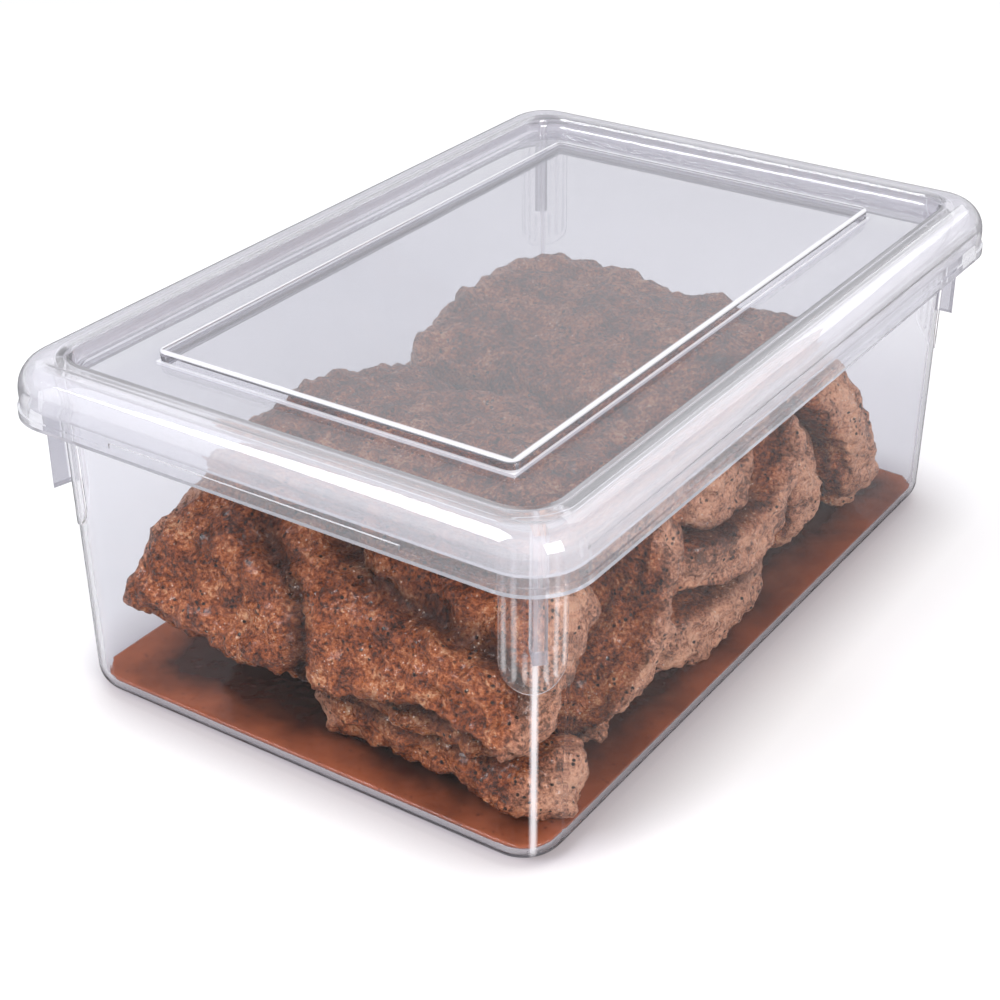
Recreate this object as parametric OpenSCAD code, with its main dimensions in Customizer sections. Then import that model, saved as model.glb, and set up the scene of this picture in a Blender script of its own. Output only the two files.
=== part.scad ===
// Deli food pan: a clear moulded pan with a clear lift-off lid, holding marinated steaks.
// Origin at the middle of the pan's underside, +Z up, the long side along Y. Millimetres.

/* [Overall] */
// Width over the lid's skirt, along X
lid_w = 240; // [200:1:300]
// Length over the lid's skirt, along Y
lid_l = 356; // [300:1:440]
// Height of the pan, from its underside to the top of its rim
pan_h = 140; // [120:1:200]

/* [Pan] */
// Thickness of the pan's side walls
wall_t = 2.4; // [1.6:0.1:3]
// Thickness of the pan's floor
floor_t = 2.6; // [2:0.1:4]
// From the outside of the lid to the pan's wall, at the rim
body_inset = 12.2; // [11:0.1:15]
// How far each wall leans in from the rim to the floor
draft_run = 2; // [1:0.1:6]
// Outer radius of the pan's upright corners, at the rim
body_corner_r = 19; // [17:0.5:26]
// Outer radius of the edge between the walls and the floor
foot_r = 11; // [6:0.5:12]
// Thickness of the rolled rim
rim_t = 2.2; // [1.6:0.1:3]
// Height of the rolled rim, from its top to the bottom of its lip
rim_drop = 14; // [10:0.5:18]

/* [Corner lugs] */
// Thickness of the upright lug at each corner
lug_t = 4.8; // [3:0.1:7]
// How far each lug stands out from the corner
lug_reach = 6.4; // [3:0.1:8]
// Length of each lug, from the rim down to its tip
lug_drop = 50; // [30:1:60]
// Slope of the lug's bottom end, over its reach
lug_slant = 3; // [0:0.5:6]
// Height that the round-bottomed pad behind each lug stands proud of the corner
pad_t = 0.6; // [0.3:0.1:1.2]
// Width of the pad, straight across the corner
pad_w = 23; // [16:0.5:23]
// Length of the pad, from the rim down to its lowest point
pad_drop = 66; // [40:1:75]

/* [Lid] */
// Thickness of the lid's top and skirt
lid_t = 2.4; // [1.8:0.1:3]
// Outer radius of the lid's corners
lid_corner_r = 23; // [20:0.5:25]
// Height of the lid from the bottom of its skirt to its crown
lid_h = 22; // [18:0.5:26]
// Radius of the round shoulder between skirt and crown
crown_r = 12.5; // [11:0.5:14]
// Radius of the inside of the shoulder
crown_in_r = 8; // [7:0.1:9]
// Radius at the top of the step
step_top_r = 3.2; // [2.6:0.1:4]
// Radius at the bottom of the step
step_foot_r = 2.9; // [2:0.1:4]
// Depth of the step, from the crown down to the plateau
step_drop = 6.2; // [6.2:0.1:9]
// From the outside of the lid to the raised middle panel
panel_inset = 42.5; // [36:0.5:70]
// Height of the raised panel above the plateau
panel_rise = 4.6; // [3:0.1:6]
// Outer radius of the panel's corners
panel_corner_r = 4; // [3:0.5:12]
// Radius of the panel's top edge
panel_edge_r = 0.9; // [0.4:0.1:1.5]
// Height of the bead round the bottom of the skirt
bead_h = 3.4; // [2:0.1:6]
// How far the bead stands out from the skirt
bead_out = 0.9; // [0.3:0.1:1.5]
// Width of the taller grip strip on the bead of each short side
grip_w = 124; // [60:1:160]
// Height of the grip strip
grip_h = 5.2; // [4:0.1:9]

/* [Fit] */
// Gap between the lid's crown and the pan's rim
seat_gap = 0.3; // [0.2:0.1:0.5]
// Gap round the lid's step, inside the pan's mouth
mouth_gap = 0.9; // [0.5:0.1:2]
// Gap between the skirt and the pan's rolled rim
skirt_gap = 1; // [0.5:0.1:1.5]
// Gap between the marinade and the pan's walls
food_gap = 0.4; // [0.3:0.1:2]
// Gap between the lowest steaks and the marinade below them
rest_gap = 0.3; // [0.2:0.1:0.6]

/* [Food] */
// Depth of the marinade on the floor
marinade_h = 5; // [2:0.5:12]
// Gap between the widest steaks and the pan's side walls
side_gap = 3; // [1:0.5:12]

/* [Hidden] */
$fn = 64;
half_w = lid_w / 2;
half_l = lid_l / 2;
seat_z = pan_h + seat_gap;
lid_top = seat_z + lid_t;
skirt_z = lid_top - lid_h;

// The lid's skirt and the pan's rim share one set of corner centres, lid_corner_r inside the lid's outline.
skirt_x = lid_corner_r - bead_out;
shoulder_x = skirt_x - lid_t - crown_in_r;
rim_r = crown_in_r - skirt_gap;
// The pan's body and the lid's step share another set, body_centre_inset inside the lid's outline.
body_centre_inset = body_inset + body_corner_r;
foot_corner_r = body_corner_r - draft_run;
lean = draft_run / pan_h;
step_x = body_corner_r - wall_t - mouth_gap + step_top_r - lid_t;
plateau_z = lid_top - step_drop;

// The pile of steaks is drawn for a pan of this length inside and this height over the marinade,
// and is scaled as a whole to the pan it lies in.
PILE_L = 322;
PILE_H = 124;
food_z = floor_t + marinade_h + rest_gap;
inner_l = lid_l - 2 * (body_inset + draft_run + wall_t);
inner_w = lid_w - 2 * (body_inset + draft_run + wall_t);
pile_scale = min(inner_l / PILE_L, (plateau_z - lid_t - food_z) / PILE_H);
side_room = inner_w / 2 - side_gap;
// A slab's flanks are this share of its thickness at the round ends and bends.
FLANK = 0.97;
// Each steak: thickness, left and right end as shares of the room, route of [y, height over the marinade]
STEAKS = [
    [24, -0.06, 0.99, [[-137, 12], [-128, 13]]],
    [27, -0.95, 0.95, [[-145.5, 37], [-136.5, 57], [-118.5, 74.5]]],
    [24, -0.92, 0.55, [[-94, 34.5], [-87, 54.5], [-74.5, 72]]],
    [18, -0.88, 0.99, [[-99, 9.5], [-78, 17], [-62, 36], [-53, 58], [-53, 71]]],
    [22, -0.6, 0.97, [[-130, 99], [-95, 101], [-50, 92]]],
    [24, -0.85, 0.96, [[-38, 12], [0, 12], [30, 19]]],
    [22, -0.8, 0.99, [[-28, 41.7], [6, 37.6], [34, 45.6], [44, 67.6]]],
    [28, -0.82, 0.97, [[116, 14.2], [106, 44.2], [84, 72.2]]],
    [22, -0.62, 0.9, [[-14, 90.7], [26, 98.7], [72, 94.7]]],
    [24, -0.8, 0.9, [[70, 12], [67.5, 50]]],
    [26, -0.7, 0.93, [[-16, 66.2], [10, 65.2]]],
];

// Sweeps a profile (x outward, y up) round a rectangle. The profile's x = 0 is the centre of its corners,
// and centre_inset is how far those centres lie inside the lid's outline.
module round_frame(centre_inset) {
    cx = half_w - centre_inset;
    cy = half_l - centre_inset;
    for (side = [0, 1]) {
        rotate([0, 0, 180 * side]) {
            translate([cx, cy, 0]) rotate_extrude(angle = 90) children();
            translate([-cx, cy, 0]) rotate([0, 0, 90]) rotate_extrude(angle = 90) children();
            translate([cx, cy, 0]) rotate([90, 0, 0]) linear_extrude(2 * cy) children();
            translate([-cx, cy, 0]) rotate([90, 0, 90]) linear_extrude(2 * cx) children();
        }
    }
}

// Fills the rectangle between a frame's corner centres, from z0 up to z1
module frame_core(centre_inset, z0, z1) {
    cx = half_w - centre_inset;
    cy = half_l - centre_inset;
    translate([-cx, -cy, z0]) cube([2 * cx, 2 * cy, z1 - z0]);
}

// A rounded rectangle: inset from the lid's outline, with corners of radius r
module outline(inset, r) {
    w = half_w - inset;
    l = half_l - inset;
    square([2 * (w - r), 2 * l], center = true);
    square([2 * w, 2 * (l - r)], center = true);
    for (sx = [-1, 1], sy = [-1, 1]) translate([sx * (w - r), sy * (l - r)]) circle(r);
}

// A quarter disc in the first quadrant
module quarter(r) {
    intersection() {
        circle(r);
        square(r);
    }
}

// Half section of the tub from its corner centre outward, grown inward by t, between two heights
module tub_section(t, floor_z, top_z) {
    foot = foot_r - t;
    foot_z = floor_z + foot;
    foot_x = foot_corner_r - t + lean * foot_z;
    top_x = foot_corner_r - t + lean * top_z;
    polygon([[0, floor_z], [foot_x - foot, floor_z], [foot_x - foot, foot_z],
             [foot_x, foot_z], [top_x, top_z], [0, top_z]]);
    translate([foot_x - foot, foot_z]) mirror([0, 1]) quarter(foot);
}

module tub_solid(t, floor_z, top_z) {
    round_frame(body_centre_inset) tub_section(t, floor_z, top_z);
    frame_core(body_centre_inset, floor_z, top_z);
}

// Puts its children at each of the body's four corner centres, with +X pointing diagonally outward
module at_corners() {
    cx = half_w - body_centre_inset;
    cy = half_l - body_centre_inset;
    for (a = [45, 135, 225, 315]) {
        translate([cx * sign(cos(a)), cy * sign(sin(a)), 0]) rotate([0, 0, a]) children();
    }
}

// ---- Pan ----

// Flat land on top of the walls, where the lid rests
module rim_land() {
    land_inset = lid_corner_r - shoulder_x;
    translate([0, 0, pan_h - rim_t]) linear_extrude(rim_t) outline(land_inset, shoulder_x);
}

// Half section of the rolled rim, from the land's edge round and down to the lip
module rim_section() {
    lip_x = shoulder_x + rim_r;
    translate([shoulder_x, pan_h - rim_r]) difference() {
        quarter(rim_r);
        circle(rim_r - rim_t);
    }
    translate([lip_x - rim_t, pan_h - rim_drop]) square([rim_t, rim_drop - rim_r]);
}

// Upright lug standing out from a corner under the rim, its end slanting down to a tip
module lug() {
    inner = foot_corner_r - wall_t / 2;
    outer = body_corner_r + lug_reach;
    tip_z = pan_h - lug_drop;
    top_z = pan_h - rim_t / 2;
    rotate([90, 0, 0]) translate([0, 0, -lug_t / 2]) linear_extrude(lug_t)
        polygon([[inner, tip_z + lug_slant], [outer, tip_z], [outer, top_z], [inner, top_z]]);
}

// Round-bottomed pad wrapped over a corner behind its lug
module corner_pad() {
    reach = body_corner_r + 2 * pad_t;
    bottom_z = pan_h - pad_drop + pad_w / 2;
    intersection() {
        rotate([0, 0, -45]) rotate_extrude(angle = 90) tub_section(-pad_t, 0, pan_h - rim_t);
        rotate([90, 0, 90]) linear_extrude(reach) {
            translate([0, bottom_z]) circle(pad_w / 2);
            translate([-pad_w / 2, bottom_z]) square([pad_w, pan_h - bottom_z]);
        }
    }
}

module pan() {
    color("lightgray") difference() {
        union() {
            tub_solid(0, 0, pan_h);
            rim_land();
            round_frame(lid_corner_r) rim_section();
            at_corners() {
                lug();
                corner_pad();
            }
        }
        tub_solid(wall_t, floor_t, pan_h + 1);
    }
}

// ---- Lid ----

// Half section of the skirt, its bead and the round shoulder up to the crown
module skirt_section() {
    arc_x = skirt_x - crown_r;
    arc_z = lid_top - crown_r;
    difference() {
        union() {
            translate([arc_x, arc_z]) quarter(crown_r);
            translate([arc_x, skirt_z]) square([crown_r, crown_r + lid_h - 2 * crown_r]);
            translate([arc_x, skirt_z]) square([lid_corner_r - arc_x, bead_h]);
        }
        translate([shoulder_x, seat_z - crown_in_r]) circle(crown_in_r);
        translate([0, skirt_z - 1]) square([shoulder_x, seat_z - skirt_z + 1]);
        translate([0, skirt_z - 1]) square([shoulder_x + crown_in_r, seat_z - crown_in_r - skirt_z + 1]);
    }
}

// Flat crown between the shoulder and the step
module crown() {
    crown_x = skirt_x - crown_r;
    translate([0, 0, seat_z]) linear_extrude(lid_t) difference() {
        outline(lid_corner_r - crown_x, crown_x);
        outline(body_centre_inset - step_x, step_x);
    }
}

// Half section of the step down from the crown to the plateau
module step_section() {
    wall_x = step_x - step_top_r;
    top_z = lid_top - step_top_r;
    foot_z = plateau_z + step_foot_r;
    translate([step_x, top_z]) mirror([1, 0]) difference() {
        quarter(step_top_r);
        circle(step_top_r - lid_t);
    }
    translate([wall_x, foot_z]) square([lid_t, top_z - foot_z]);
    translate([wall_x - step_foot_r, foot_z]) mirror([0, 1]) difference() {
        quarter(step_foot_r + lid_t);
        circle(step_foot_r);
    }
    translate([0, plateau_z - lid_t]) square([wall_x - step_foot_r, lid_t]);
}

// Half section of the raised panel's wall and rounded top edge, hollow below
module panel_section() {
    x = panel_corner_r;
    height = panel_rise + lid_t;
    translate([0, plateau_z - lid_t]) difference() {
        union() {
            square([x, height - panel_edge_r]);
            square([x - panel_edge_r, height]);
            translate([x - panel_edge_r, height - panel_edge_r]) circle(panel_edge_r);
        }
        translate([0, -1]) square([x - lid_t, panel_rise + 1]);
    }
}

module plateau() {
    difference() {
        frame_core(body_centre_inset, plateau_z - lid_t, plateau_z);
        translate([0, 0, plateau_z - lid_t - 1]) linear_extrude(lid_t + 2)
            outline(panel_inset, panel_corner_r);
    }
}

// Taller strip on the bead, to pull the lid off by, on each short side
module grips() {
    depth = bead_out + lid_t / 2;
    for (side = [0, 1]) rotate([0, 0, 180 * side])
        translate([-grip_w / 2, half_l - depth, skirt_z]) cube([grip_w, depth, grip_h]);
}

module lid() {
    color("whitesmoke") union() {
        round_frame(lid_corner_r) skirt_section();
        crown();
        round_frame(body_centre_inset) step_section();
        plateau();
        round_frame(panel_inset + panel_corner_r) panel_section();
        frame_core(panel_inset + panel_corner_r, plateau_z + panel_rise - lid_t, plateau_z + panel_rise);
        grips();
    }
}

// ---- Food ----

module marinade() {
    color("saddlebrown") intersection() {
        tub_solid(wall_t + food_gap, floor_t, pan_h / 2);
        translate([-half_w, -half_l, 0]) cube([lid_w, lid_l, floor_t + marinade_h]);
    }
}

// A bent slab with round edges: its section follows a route of [y, z] points at half its thickness
module slab_section(t, route) {
    for (p = route) translate(p) circle(t / 2);
    for (i = [1 : len(route) - 1]) {
        run = route[i] - route[i - 1];
        translate(route[i - 1]) rotate(atan2(run.y, run.x))
            translate([0, -FLANK * t / 2]) square([norm(run), FLANK * t]);
    }
}

// A steak lies across the pan. Its ends are shares of the room to each side wall.
module steak(number) {
    item = STEAKS[number - 1];
    left = item[1] * side_room;
    right = item[2] * side_room;
    color("sienna") translate([left, 0, food_z]) rotate([90, 0, 90]) linear_extrude(right - left)
        scale(pile_scale) slab_section(item[0], item[3]);
}

pan();
lid();
marinade();
steak(1);  // steak_1
steak(2);  // steak_2
steak(3);  // steak_3
steak(4);  // steak_4
steak(5);  // steak_5
steak(6);  // steak_6
steak(7);  // steak_7
steak(8);  // steak_8
steak(9);  // steak_9
steak(10);  // steak_10
steak(11);  // steak_11
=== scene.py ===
import math

import bpy
import numpy as np
from mathutils import Matrix, Vector
from mathutils.kdtree import KDTree


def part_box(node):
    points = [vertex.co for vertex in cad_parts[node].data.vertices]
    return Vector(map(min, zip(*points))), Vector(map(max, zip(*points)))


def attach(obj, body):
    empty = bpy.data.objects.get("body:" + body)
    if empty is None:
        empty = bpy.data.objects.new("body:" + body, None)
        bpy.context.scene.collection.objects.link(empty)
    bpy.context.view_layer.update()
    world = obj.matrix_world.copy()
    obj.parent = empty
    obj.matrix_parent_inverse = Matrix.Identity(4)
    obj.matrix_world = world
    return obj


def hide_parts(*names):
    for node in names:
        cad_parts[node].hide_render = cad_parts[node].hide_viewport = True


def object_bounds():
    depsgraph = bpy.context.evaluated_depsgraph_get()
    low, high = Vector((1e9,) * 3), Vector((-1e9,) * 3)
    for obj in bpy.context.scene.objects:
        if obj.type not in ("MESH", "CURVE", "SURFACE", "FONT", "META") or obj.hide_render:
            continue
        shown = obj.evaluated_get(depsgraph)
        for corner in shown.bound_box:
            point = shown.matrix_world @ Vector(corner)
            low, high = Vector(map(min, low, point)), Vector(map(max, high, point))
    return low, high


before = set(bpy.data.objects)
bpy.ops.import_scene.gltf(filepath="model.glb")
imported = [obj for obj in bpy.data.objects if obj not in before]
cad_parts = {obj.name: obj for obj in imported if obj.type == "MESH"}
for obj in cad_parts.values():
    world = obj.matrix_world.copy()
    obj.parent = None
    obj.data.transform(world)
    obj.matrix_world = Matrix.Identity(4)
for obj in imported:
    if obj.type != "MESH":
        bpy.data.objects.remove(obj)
cad_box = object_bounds()

# ---- Sizes, in metres ----
STEAKS = sorted(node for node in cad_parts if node.startswith("steak_"))
MEAT_VOXEL = 0.0016
MARINADE_VOXEL = 0.0015
# Rounds of smoothing after the remesh
MEAT_ROUNDS = 80
MARINADE_ROUNDS = 4
# How far the marinade's surface ripples, and the ripples' size
RIPPLE = 0.0004
RIPPLE_SIZE = 0.03
# How far smoothing shrinks a steak, which is then given back
SMOOTHING_LOSS = 0.001
# The meat's lumps, from large to small: texture, its features' size, how far it pushes, its settings
LUMPS = (
    ("CLOUDS", 0.040, 0.011, {"noise_depth": 1}),
    ("VORONOI", 0.022, 0.005, {"weight_1": -1.0, "weight_2": 1.0}),
    ("CLOUDS", 0.010, 0.0060, {"noise_depth": 2}),
    ("VORONOI", 0.0055, 0.0034, {}),
)
# How far a steak's pale colour reaches in from its cut ends
CUT_REACH = 0.009
# The steaks that the front creases cross
CREASED = ("steak_2", "steak_5")
FLOOR_SIZE = 12.0
# How far from the pan its contact shadow on the floor reaches
SHADOW_REACH = 0.032
# Corner radii of the outlines of the lid and the marinade
LID_CORNER = 0.023
MARINADE_CORNER = 0.016
# Share of the light that the lid's plastic scatters: on its flat top, and added on its thick edge, where it
# also makes the painted streak highlights
TOP_HAZE = 0.08
EDGE_HAZE = 0.12
# The rolled edge's haze runs round it in streaks of this width, which drift slowly along it; the streaks are
# painted highlights
STREAK_WIDTH = 0.0035
STREAK_WANDER = 0.006
# The raised panel's wall: its distance inside the lid's outline, and the width of the highlight line painted
# along it
PANEL_INSET = 0.0425
PANEL_HIGHLIGHT_WIDTH = 0.0014
# How far below the lid's highest point the top and the foot of that wall lie
PANEL_TOP_DROP = 0.0016
PLATEAU_DROP = 0.0062
# The pan's body: its walls' distance inside the lid's outline at the rim, and its corner radius
BODY_INSET = 0.0122
BODY_CORNER = 0.019
# How far the walls lean in from the rim to the floor
BODY_DRAFT = 0.002
PAN_HEIGHT = 0.14

# Each pair below is where a change in the plastic starts and where it is complete
# The rolled edge's haze and tint, by distance inside the lid's outline
EDGE_HAZE_END = (0.0155, 0.0175)
EDGE_TINT_END = (0.0165, 0.0195)
# The lid's haze, by height over the skirt's foot
SKIRT_HAZE = (0.005, 0.012)
# The upright highlight line painted on each corner of the pan: its start round the bend, and its fade to
# each side
CORNER_HIGHLIGHT_START = (0.004, 0.008)
CORNER_HIGHLIGHT_SIDE = (0.0006, 0.0022)
# Lugs, and the highlights painted on the edges of pads, by how far they stand out from the wall
LUG_PROUD = (0.0008, 0.0016)
PAD_HIGHLIGHT_START = (0.0001, 0.0002)
PAD_HIGHLIGHT_END = (0.00045, 0.00055)
# The highlight painted as milky plastic along the floor edge, and the turn from the wall's tint to the
# rim's, by height
FOOT_HIGHLIGHT = (0.0015, 0.004)
RIM_TINT = (0.118, 0.124)

# How far the top of each steak's left end leans in, as a share of its height
LEFT_LEAN = {"steak_2": 0.14, "steak_5": 0.08, "steak_9": 0.08}
# How far a steak's corners are drawn in, as a share of half its length
CORNER_DRAW = 0.16
# Steaks nearer than this to each other are pressed together: painted shade between, and without lumps
PRESSED = 0.008
CREASE_DEPTH = 0.007
CREASE_WIDTH = 0.0045
# Creases across the front of the pile, as routes of (x, z)
FRONT_CREASES = (
    ((-0.030, 0.083), (-0.016, 0.077), (-0.004, 0.067), (-0.001, 0.051), (-0.003, 0.033)),
    ((0.002, 0.089), (0.017, 0.082), (0.048, 0.078), (0.081, 0.072), (0.096, 0.061)),
    ((-0.005, 0.033), (0.014, 0.032), (0.041, 0.040), (0.076, 0.039), (0.092, 0.028)),
)

# Where the lamps point, and the camera's place, direction and lens
AIM = (0, 0, 0.07)
CAMERA_AT = (0.386, -0.6011, 0.4424)
CAMERA_AZIMUTH = math.radians(34.0)
CAMERA_ELEVATION = math.radians(29.43)
CAMERA_ROLL = math.radians(-0.245)
SENSOR_WIDTH_MM = 36
LENS_MM = 71.05


# ---- Shader helpers ----

def linear(hex_colour):
    """A colour as a shader wants it, from its usual hexadecimal form."""
    parts = [int(hex_colour[i:i + 2], 16) / 255 for i in (0, 2, 4)]
    return [p / 12.92 if p <= 0.04045 else ((p + 0.055) / 1.055) ** 2.4 for p in parts] + [1.0]


class Shader:
    """A material's node tree, with one short call for each node."""

    def __init__(self, name):
        self.material = bpy.data.materials.new(name)
        self.material.use_nodes = True
        self.tree = self.material.node_tree
        self.tree.nodes.clear()
        self.output = self.add("ShaderNodeOutputMaterial")
        self.place = self.add("ShaderNodeTexCoord").outputs["Object"]

    def add(self, kind, settings=None, **inputs):
        node = self.tree.nodes.new(kind)
        for key, value in (settings or {}).items():
            setattr(node, key, value)
        for key, value in inputs.items():
            self.feed(node.inputs[key.replace("_", " ")], value)
        return node

    def feed(self, socket, value):
        if isinstance(value, bpy.types.NodeSocket):
            self.tree.links.new(value, socket)
        else:
            socket.default_value = value

    def noise(self, size, detail=3.0, roughness=0.55, distortion=0.0, place=None):
        """Noise from 0 to 1, its features about this many metres across."""
        node = self.add("ShaderNodeTexNoise", Vector=place or self.place, Scale=1 / size, Detail=detail,
                        Roughness=roughness, Distortion=distortion)
        return node.outputs["Fac"]

    def cells(self, size):
        """Distance to the nearest cell point, in cells about this many metres across."""
        return self.add("ShaderNodeTexVoronoi", Vector=self.place, Scale=1 / size).outputs["Distance"]

    def ramp(self, value, start, end, low=0.0, high=1.0):
        """The value's range from start to end, stretched to low and high, and clamped."""
        node = self.add("ShaderNodeMapRange", {"clamp": True})
        for socket, number in zip(node.inputs, (value, start, end, low, high)):
            self.feed(socket, number)
        return node.outputs[0]

    def math(self, operation, a, b=0.0):
        node = self.add("ShaderNodeMath", {"operation": operation})
        self.feed(node.inputs[0], a)
        self.feed(node.inputs[1], b)
        return node.outputs[0]

    def mix(self, share, a, b):
        """Colour a where share is 0 and colour b where it is 1."""
        node = self.add("ShaderNodeMix", {"data_type": "RGBA"})
        self.feed(node.inputs[0], share)
        self.feed(node.inputs[6], a)
        self.feed(node.inputs[7], b)
        return node.outputs[2]

    def bump(self, height, distance, normal=None):
        node = self.add("ShaderNodeBump", Height=height, Distance=distance, Strength=1.0)
        if normal is not None:
            self.feed(node.inputs["Normal"], normal)
        return node.outputs["Normal"]

    def principled(self, **inputs):
        return self.add("ShaderNodeBsdfPrincipled", **inputs).outputs[0]

    def finish(self, surface):
        self.feed(self.output.inputs["Surface"], surface)
        return self.material


# ---- Materials ----

def rounded_inset(s, half_x, half_y, corner):
    """Distance in from the outline of a rounded rectangle centred on the Z axis."""
    axes = s.add("ShaderNodeSeparateXYZ", Vector=s.place).outputs
    over_x = s.math("SUBTRACT", s.math("ABSOLUTE", axes[0]), half_x - corner)
    over_y = s.math("SUBTRACT", s.math("ABSOLUTE", axes[1]), half_y - corner)
    past_x = s.math("MAXIMUM", over_x, 0.0)
    past_y = s.math("MAXIMUM", over_y, 0.0)
    corner_run = s.math("SQRT", s.math("ADD", s.math("POWER", past_x, 2.0), s.math("POWER", past_y, 2.0)))
    flat_run = s.math("MINIMUM", s.math("MAXIMUM", over_x, over_y), 0.0)
    return s.math("SUBTRACT", corner, s.math("ADD", corner_run, flat_run))


def lid_haze_and_highlights(s):
    """How milky the lid is: little on the flat top, much on the thick rolled edge, less down the skirt. The
    edge's haze runs in streaks painted as highlights, and a highlight line is painted along the raised
    panel's wall.
    """
    low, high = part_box("lid")
    inset = rounded_inset(s, high.x, high.y, LID_CORNER)
    edge = s.ramp(inset, *EDGE_HAZE_END, 1.0, 0.0)
    height = s.add("ShaderNodeSeparateXYZ", Vector=s.place).outputs[2]
    upper = s.ramp(height, low.z + SKIRT_HAZE[0], low.z + SKIRT_HAZE[1], 0.2, 1.0)
    along = s.math("MULTIPLY", s.noise(0.08, detail=1.0), STREAK_WANDER)
    lines = s.add("ShaderNodeCombineXYZ", X=inset, Y=height, Z=along).outputs[0]
    # Streak highlights painted into the rolled edge's haze
    streak_highlights = s.ramp(s.noise(STREAK_WIDTH, detail=2.0, place=lines), 0.35, 0.65, 0.35, 1.0)
    rim_haze_and_streaks = s.math("MULTIPLY", s.math("MULTIPLY", edge, upper), s.math("MULTIPLY", streak_highlights, EDGE_HAZE))
    # A highlight line painted along the raised panel's wall
    off_wall = s.math("ABSOLUTE", s.math("SUBTRACT", inset, PANEL_INSET + PANEL_HIGHLIGHT_WIDTH / 2))
    along_wall = s.ramp(off_wall, PANEL_HIGHLIGHT_WIDTH / 2, PANEL_HIGHLIGHT_WIDTH, 0.6, 0.0)
    below_top = s.math("SUBTRACT", high.z - PANEL_TOP_DROP, height)
    above_foot = s.math("SUBTRACT", height, high.z - PLATEAU_DROP)
    from_edges = s.math("MINIMUM", below_top, above_foot)
    panel_highlight = s.math("MULTIPLY", along_wall, s.ramp(from_edges, 0.0006, 0.0010, 1.0, 0.0))
    return s.math("ADD", s.math("MAXIMUM", rim_haze_and_streaks, panel_highlight), TOP_HAZE)


def proud_of_wall(s):
    """How far a point of the pan stands out from the wall's outer face: over 0 on pads, lugs and rim."""
    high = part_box("lid")[1]
    height = s.add("ShaderNodeSeparateXYZ", Vector=s.place).outputs[2]
    draft = s.ramp(height, 0.0, PAN_HEIGHT, BODY_DRAFT, 0.0)
    inset = rounded_inset(s, high.x - BODY_INSET, high.y - BODY_INSET, BODY_CORNER)
    return s.math("SUBTRACT", draft, inset)


def pan_haze_and_highlights(s):
    """How milky the pan is in its lugs, with highlights painted as milky lines: on its pads' edges, upright
    down each corner, and along its floor edge.
    """
    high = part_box("lid")[1]
    axes = s.add("ShaderNodeSeparateXYZ", Vector=s.place).outputs
    past_x = s.math("SUBTRACT", s.math("ABSOLUTE", axes[0]), high.x - BODY_INSET - BODY_CORNER)
    past_y = s.math("SUBTRACT", s.math("ABSOLUTE", axes[1]), high.y - BODY_INSET - BODY_CORNER)
    off_diagonal = s.math("ABSOLUTE", s.math("SUBTRACT", past_x, past_y))
    on_corner = s.ramp(s.math("MINIMUM", past_x, past_y), *CORNER_HIGHLIGHT_START)
    # A highlight line painted as milky plastic down each corner
    corner_highlight = s.math("MULTIPLY", s.ramp(off_diagonal, *CORNER_HIGHLIGHT_SIDE, 0.30, 0.0), on_corner)
    proud = proud_of_wall(s)
    lugs = s.ramp(proud, *LUG_PROUD, 0.0, 0.22)
    # Highlights painted as milky lines on the pads' edges
    pad_highlights = s.math("MULTIPLY", s.ramp(proud, *PAD_HIGHLIGHT_START), s.ramp(proud, *PAD_HIGHLIGHT_END, 0.6, 0.05))
    # A highlight painted as a milky line along the floor edge
    floor_edge_highlight = s.ramp(axes[2], *FOOT_HIGHLIGHT, 0.25, 0.0)
    return s.math("MAXIMUM", s.math("MAXIMUM", corner_highlight, lugs), s.math("MAXIMUM", pad_highlights, floor_edge_highlight))


def lid_tint(s):
    """The lid's colour: a little smoky on top, and clearer on its edge, which is seen through many times."""
    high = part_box("lid")[1]
    edge = s.ramp(rounded_inset(s, high.x, high.y, LID_CORNER), *EDGE_TINT_END, 1.0, 0.0)
    return s.mix(edge, linear("D8D8DD"), linear("E2E2E6"))


def pan_tint(s):
    """The pan's colour: clearer at the rim than down the walls, and greyer in the thick lugs."""
    height = s.add("ShaderNodeSeparateXYZ", Vector=s.place).outputs[2]
    below_rim = s.ramp(height, *RIM_TINT, 1.0, 0.0)
    in_lug = s.math("MULTIPLY", s.ramp(proud_of_wall(s), *LUG_PROUD), below_rim)
    wall = s.mix(below_rim, linear("FAFAFB"), linear("F3F3F6"))
    return s.mix(in_lug, wall, linear("BDBDC4"))


def clear_plastic(name, ior, tint, milk_and_highlights):
    """Clear moulded plastic. Lamps and soft light pass straight through it, so what is inside is lit."""
    s = Shader(name)
    wave = s.noise(0.05, detail=1.0)
    scuffs = s.ramp(s.noise(0.012, detail=6.0, roughness=0.7), 0.55, 0.8, 0.012, 0.06)
    # Where this is high the plastic turns white and diffuse: milky plastic, and also the painted highlight
    # lines
    clear = s.math("SUBTRACT", 1.0, milk_and_highlights(s))
    colour = tint(s)
    glass = s.principled(Base_Color=colour, Roughness=scuffs, IOR=ior, Transmission_Weight=clear,
                         Normal=s.bump(wave, 0.0004))
    straight = s.add("ShaderNodeBsdfTransparent", Color=colour).outputs[0]
    path = s.add("ShaderNodeLightPath")
    unbent = s.math("MAXIMUM", path.outputs["Is Shadow Ray"], path.outputs["Is Diffuse Ray"])
    both = s.add("ShaderNodeMixShader")
    s.feed(both.inputs[0], unbent)
    s.feed(both.inputs[1], glass)
    s.feed(both.inputs[2], straight)
    return s.finish(both.outputs[0])


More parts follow.
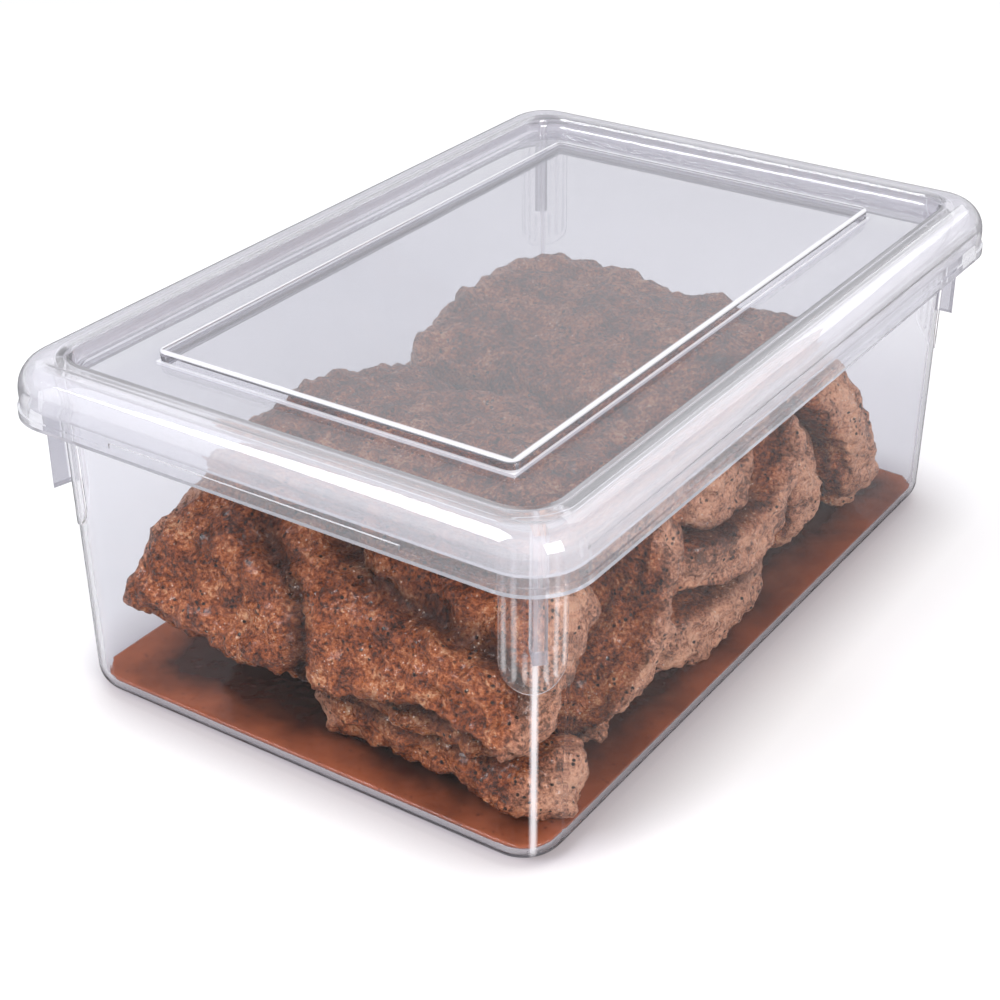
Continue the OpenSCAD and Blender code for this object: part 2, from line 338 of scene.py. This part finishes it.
def meat():
    """Marinated beef: rust and dark brown paste, ground spice, pale cut ends and a wet film, with painted
    shade where steaks press together and in the front creases, and pale specks painted as glints.
    """
    s = Shader("marinated_meat")
    broad = s.noise(0.040, detail=2.0)
    patches = s.noise(0.010, detail=5.0, roughness=0.65, distortion=0.4)
    grain = s.noise(0.0016, detail=4.0, roughness=0.75)
    tone = s.math("ADD", s.math("MULTIPLY", patches, 0.35), s.math("MULTIPLY", grain, 0.5))
    tone = s.math("ADD", tone, s.math("MULTIPLY", broad, 0.15))
    colour = s.mix(s.ramp(tone, 0.42, 0.49), linear("3C1A0A"), linear("8A4320"))
    colour = s.mix(s.ramp(tone, 0.49, 0.55), colour, linear("BC6C3C"))
    colour = s.mix(s.ramp(tone, 0.55, 0.61), colour, linear("E6B084"))
    cut = s.add("ShaderNodeAttribute", {"attribute_name": "cut"}).outputs["Fac"]
    colour = s.mix(s.math("MULTIPLY", cut, s.ramp(tone, 0.44, 0.56, 0.15, 0.85)), colour, linear("E8B494"))
    # Painted shade, dark brown, where steaks press together and in the front creases
    painted_shade = s.add("ShaderNodeAttribute", {"attribute_name": "painted_shade"}).outputs["Fac"]
    colour = s.mix(s.math("MULTIPLY", painted_shade, 0.8), colour, linear("2A1009"))
    sparse = s.ramp(s.noise(0.009, detail=2.0), 0.46, 0.54)
    pepper = s.math("MULTIPLY", s.ramp(s.cells(0.0030), 0.18, 0.30, 1.0, 0.0), sparse)
    colour = s.mix(pepper, colour, linear("130805"))
    # Pale specks painted in the lighter patches as glints of the wet paste
    painted_glints = s.math("MULTIPLY", s.ramp(s.cells(0.0021), 0.12, 0.20, 0.8, 0.0), s.ramp(patches, 0.50, 0.60))
    colour = s.mix(painted_glints, colour, linear("F2DCC6"))
    folds = s.bump(patches, 0.0045)
    paste = s.bump(grain, 0.0022, folds)
    wet = s.ramp(s.noise(0.015, detail=3.0), 0.4, 0.6, 0.45, 0.25)
    return s.finish(s.principled(Base_Color=colour, Roughness=wet, Normal=paste, Coat_Weight=0.2,
                                 Coat_Roughness=0.08, Specular_IOR_Level=0.3))


def marinade():
    """Spiced liquid, rusty along the walls and dark away from them, partly for its depth and partly as
    painted shade under the meat, with an oily film.
    """
    s = Shader("marinade")
    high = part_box("marinade")[1]
    wander = s.ramp(s.noise(0.03, detail=3.0), 0.3, 0.7, -0.008, 0.008)
    inset = s.math("ADD", rounded_inset(s, high.x, high.y, MARINADE_CORNER), wander)
    shallow_and_unshaded = s.ramp(inset, 0.001, 0.019, 1.0, 0.0)
    # Darker away from the walls: partly deeper liquid, partly painted shade under the meat
    colour = s.mix(shallow_and_unshaded, linear("35150A"), linear("8C4C31"))
    fine = s.noise(0.0025, detail=3.0)
    colour = s.mix(s.ramp(fine, 0.60, 0.72, 0.0, 0.6), colour, linear("2A1008"))
    ripple = s.bump(s.noise(0.014, detail=2.0), 0.0006)
    return s.finish(s.principled(Base_Color=colour, Roughness=0.12, Normal=ripple, Coat_Weight=0.1,
                                 Coat_Roughness=0.04, Specular_IOR_Level=0.2))


def studio_floor():
    """White paper, a little overlit, with a soft contact shadow. It is dim in mirror reflections."""
    s = Shader("studio_floor")
    path = s.add("ShaderNodeLightPath")
    mirrored = s.ramp(path.outputs["Glossy Depth"], 0.0, 1.0)
    inside = s.ramp(path.outputs["Transmission Depth"], 0.0, 1.0, 0.15, 0.75)
    direct = s.math("ADD", s.math("SUBTRACT", 1.0, mirrored), s.math("MULTIPLY", mirrored, inside))
    open_sky = s.add("ShaderNodeAmbientOcclusion", Distance=SHADOW_REACH).outputs["AO"]
    paper = s.mix(s.noise(0.4), linear("DCDCDE"), linear("E0E0E1"))
    paper = s.mix(s.ramp(open_sky, 0.45, 1.0), linear("ACA8AC"), paper)
    colour = s.mix(direct, linear("000000"), paper)
    glow = s.math("MULTIPLY", s.math("MULTIPLY", open_sky, path.outputs["Is Camera Ray"]), 0.06)
    return s.finish(s.principled(Base_Color=colour, Roughness=0.6, Specular_IOR_Level=0.0,
                                 Emission_Color=(1, 1, 1, 1), Emission_Strength=glow))


# ---- Meat and marinade ----

def baked(piece):
    """Applies a piece's modifiers."""
    graph = bpy.context.evaluated_depsgraph_get()
    mesh = bpy.data.meshes.new_from_object(piece.evaluated_get(graph))
    piece.modifiers.clear()
    piece.data = mesh


def remeshed_copy(node, voxel, rounds):
    """A new piece in a CAD node's space, evenly meshed, its edges rounded by smoothing."""
    piece = bpy.data.objects.new(node + "_soft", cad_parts[node].data.copy())
    piece.data.materials.clear()
    bpy.context.scene.collection.objects.link(piece)
    remesh = piece.modifiers.new("even", "REMESH")
    remesh.mode = "VOXEL"
    remesh.voxel_size = voxel
    smooth = piece.modifiers.new("round", "SMOOTH")
    smooth.factor = 0.5
    smooth.iterations = rounds
    baked(piece)
    return piece


def rows_of(mesh, what):
    """A row for each vertex: its place for "co", or its normal for "normal"."""
    flat = np.zeros(len(mesh.vertices) * 3, np.float32)
    mesh.vertices.foreach_get(what, flat)
    return flat.reshape(-1, 3)


def displace(piece, kind, size, strength, **settings):
    """Pushes the surface in and out by a solid texture, its features about size metres across."""
    texture = bpy.data.textures.new(f"{piece.name}_{kind}_{size}", kind)
    texture.noise_scale = size
    for key, value in settings.items():
        setattr(texture, key, value)
    push = piece.modifiers.new(kind, "DISPLACE")
    push.texture = texture
    push.texture_coords = "GLOBAL"
    push.strength = strength
    if piece.vertex_groups:
        push.vertex_group = piece.vertex_groups[0].name
    push.mid_level = 0.5


def round_outline(points, share):
    """Draws both ends of a slab in towards its two edges, so that its outline has round corners."""
    low, high = points.min(0), points.max(0)
    middle, half = (low + high) / 2, (high - low) / 2
    across = 1 if half[1] > half[2] else 2
    past = np.abs(points[:, across] - middle[across]) / half[across]
    points[:, 0] = middle[0] + (points[:, 0] - middle[0]) * (1 - share * past ** 3)


def lean_left_end(points, share):
    """Slopes the left end inward, from the bottom to the top."""
    low, high = points.min(0), points.max(0)
    height = (points[:, 2] - low[2]) / (high[2] - low[2])
    points[:, 0] = high[0] - (high[0] - points[:, 0]) * (1 - share * height)


def nearness_to_ends(points):
    """1 at a steak's cut ends, falling to 0 at CUT_REACH."""
    low, high = points.min(0)[0], points.max(0)[0]
    nearest = np.minimum(points[:, 0] - low, high - points[:, 0])
    return np.clip(1 - nearest / CUT_REACH, 0, 1)


def away_from_route(points, route):
    """Each point's distance from a route of (x, z), seen along Y."""
    flat = points[:, [0, 2]]
    nearest = np.full(len(flat), np.inf)
    for start, end in zip(np.array(route[:-1]), np.array(route[1:])):
        run = end - start
        along = np.clip((flat - start) @ run / (run @ run), 0, 1)
        nearest = np.minimum(nearest, np.linalg.norm(flat - start - along[:, None] * run, axis=1))
    return nearest


def crease_front(mesh, points):
    """Presses the front creases into a mesh. Returns how deep in a crease each point is, from 0 to 1, which
    also sets the painted shade in the crease.
    """
    normals = rows_of(mesh, "normal")
    nearest = np.minimum.reduce([away_from_route(points, route) for route in FRONT_CREASES])
    depth = np.exp(-(nearest / CREASE_WIDTH) ** 2) * np.clip(-2 * normals[:, 1], 0, 1)
    points -= normals * depth[:, None] * CREASE_DEPTH
    return depth


def gap_to_others(points, others):
    """Each point's distance from the nearest point of the other steaks."""
    tree = KDTree(len(others))
    for number, point in enumerate(others):
        tree.insert(point, number)
    tree.balance()
    return np.array([tree.find(point)[2] for point in points])


def weigh_exposed(piece, exposed, levels=10):
    """Makes a vertex group that is 1 on open faces and 0 where another steak presses."""
    group = piece.vertex_groups.new(name="exposed")
    rank = np.round(exposed * levels).astype(int)
    for level in range(levels + 1):
        group.add(np.flatnonzero(rank == level).tolist(), level / levels, "REPLACE")


def store(mesh, name, values):
    mesh.attributes.new(name, "FLOAT", "POINT").data.foreach_set("value", values.astype(np.float32))


def make_steaks(material):
    """Every steak: its outline, then its painted shade between pressed steaks and its creases, which need
    all the outlines, then its lumps.
    """
    pieces = [remeshed_copy(node, MEAT_VOXEL, MEAT_ROUNDS) for node in STEAKS]
    shapes = []
    for node, piece in zip(STEAKS, pieces):
        points = rows_of(piece.data, "co") + rows_of(piece.data, "normal") * SMOOTHING_LOSS
        store(piece.data, "cut", nearness_to_ends(points))
        round_outline(points, CORNER_DRAW)
        lean_left_end(points, LEFT_LEAN.get(node, 0.0))
        shapes.append(points)
    for number, (node, piece, points) in enumerate(zip(STEAKS, pieces, shapes)):
        gap = gap_to_others(points, np.concatenate(shapes[:number] + shapes[number + 1:]))
        # Painted shade where this steak presses on the others, and in the creases below
        painted_shade = np.clip(1 - gap / PRESSED, 0, 1)
        weigh_exposed(piece, np.clip(gap / PRESSED, 0, 1))
        if node in CREASED:
            painted_shade = np.maximum(painted_shade, crease_front(piece.data, points))
        piece.data.vertices.foreach_set("co", points.ravel())
        store(piece.data, "painted_shade", painted_shade)
        finish_steak(node, piece, material)


def keep_above_marinade(mesh):
    """A steak that reaches down to the marinade rests on it with a flat underside."""
    points = rows_of(mesh, "co")
    points[:, 2] = np.maximum(points[:, 2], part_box("marinade")[1].z + 2 * RIPPLE)
    mesh.vertices.foreach_set("co", points.ravel())


def finish_steak(node, piece, material):
    """Adds the lumps, from large to small, and hands the piece over to the frame."""
    for kind, size, strength, settings in LUMPS:
        displace(piece, kind, size, strength, **settings)
    baked(piece)
    keep_above_marinade(piece.data)
    piece.data.shade_smooth()
    piece.data.materials.append(material)
    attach(piece, "pan")
    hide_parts(node)


def make_marinade(material):
    piece = remeshed_copy("marinade", MARINADE_VOXEL, MARINADE_ROUNDS)
    displace(piece, "CLOUDS", RIPPLE_SIZE, RIPPLE, noise_depth=1)
    baked(piece)
    piece.data.shade_smooth()
    piece.data.materials.append(material)
    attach(piece, "pan")
    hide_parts("marinade")


# ---- Stage, lights and camera ----

def make_stage():
    bpy.ops.mesh.primitive_plane_add(size=FLOOR_SIZE, location=(0, 0, cad_box[0].z))
    floor = bpy.context.object
    floor.name = "studio_floor"
    floor.data.materials.append(studio_floor())


def area_light(name, at, size, power, colour=(1, 1, 1)):
    """A soft light that faces the pan."""
    light = bpy.data.lights.new(name, "AREA")
    light.size = size
    light.energy = power
    light.color = colour
    lamp = bpy.data.objects.new(name, light)
    lamp.location = at
    lamp.rotation_euler = (Vector(AIM) - Vector(at)).to_track_quat("-Z", "Y").to_euler()
    bpy.context.scene.collection.objects.link(lamp)


def make_lights():
    world = bpy.data.worlds.new("studio")
    world.use_nodes = True
    background = world.node_tree.nodes["Background"]
    background.inputs["Color"].default_value = (0.97, 0.975, 1.0, 1)
    background.inputs["Strength"].default_value = 0.7
    bpy.context.scene.world = world
    area_light("key", (-0.7, -1.0, 1.3), 0.8, 28)
    area_light("right", (1.3, -0.5, 0.8), 0.7, 26, (1.0, 0.96, 0.92))
    area_light("back", (0.3, 1.3, 1.2), 1.0, 6)


def make_camera():
    """The camera at the photographed angle, with its slight roll."""
    back = Vector((math.sin(CAMERA_AZIMUTH) * math.cos(CAMERA_ELEVATION),
                   -math.cos(CAMERA_AZIMUTH) * math.cos(CAMERA_ELEVATION),
                   math.sin(CAMERA_ELEVATION)))
    right = Vector((math.cos(CAMERA_AZIMUTH), math.sin(CAMERA_AZIMUTH), 0))
    up = back.cross(right)
    tilted_right = right * math.cos(CAMERA_ROLL) + up * math.sin(CAMERA_ROLL)
    tilted_up = up * math.cos(CAMERA_ROLL) - right * math.sin(CAMERA_ROLL)
    data = bpy.data.cameras.new("camera")
    data.sensor_width = SENSOR_WIDTH_MM
    data.lens = LENS_MM
    camera = bpy.data.objects.new("camera", data)
    turn = Matrix((tilted_right, tilted_up, back)).transposed()
    camera.matrix_world = Matrix.Translation(CAMERA_AT) @ turn.to_4x4()
    bpy.context.scene.collection.objects.link(camera)
    bpy.context.scene.camera = camera


def give_material(node, material):
    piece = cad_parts[node]
    piece.data.materials.clear()
    piece.data.materials.append(material)


make_camera()
give_material("pan", clear_plastic("clear_pan_plastic", 1.22, pan_tint, pan_haze_and_highlights))
give_material("lid", clear_plastic("clear_lid_plastic", 1.4, lid_tint, lid_haze_and_highlights))
make_steaks(meat())
make_marinade(marinade())
make_stage()
make_lights()
bpy.context.scene.view_settings.view_transform = "Standard"
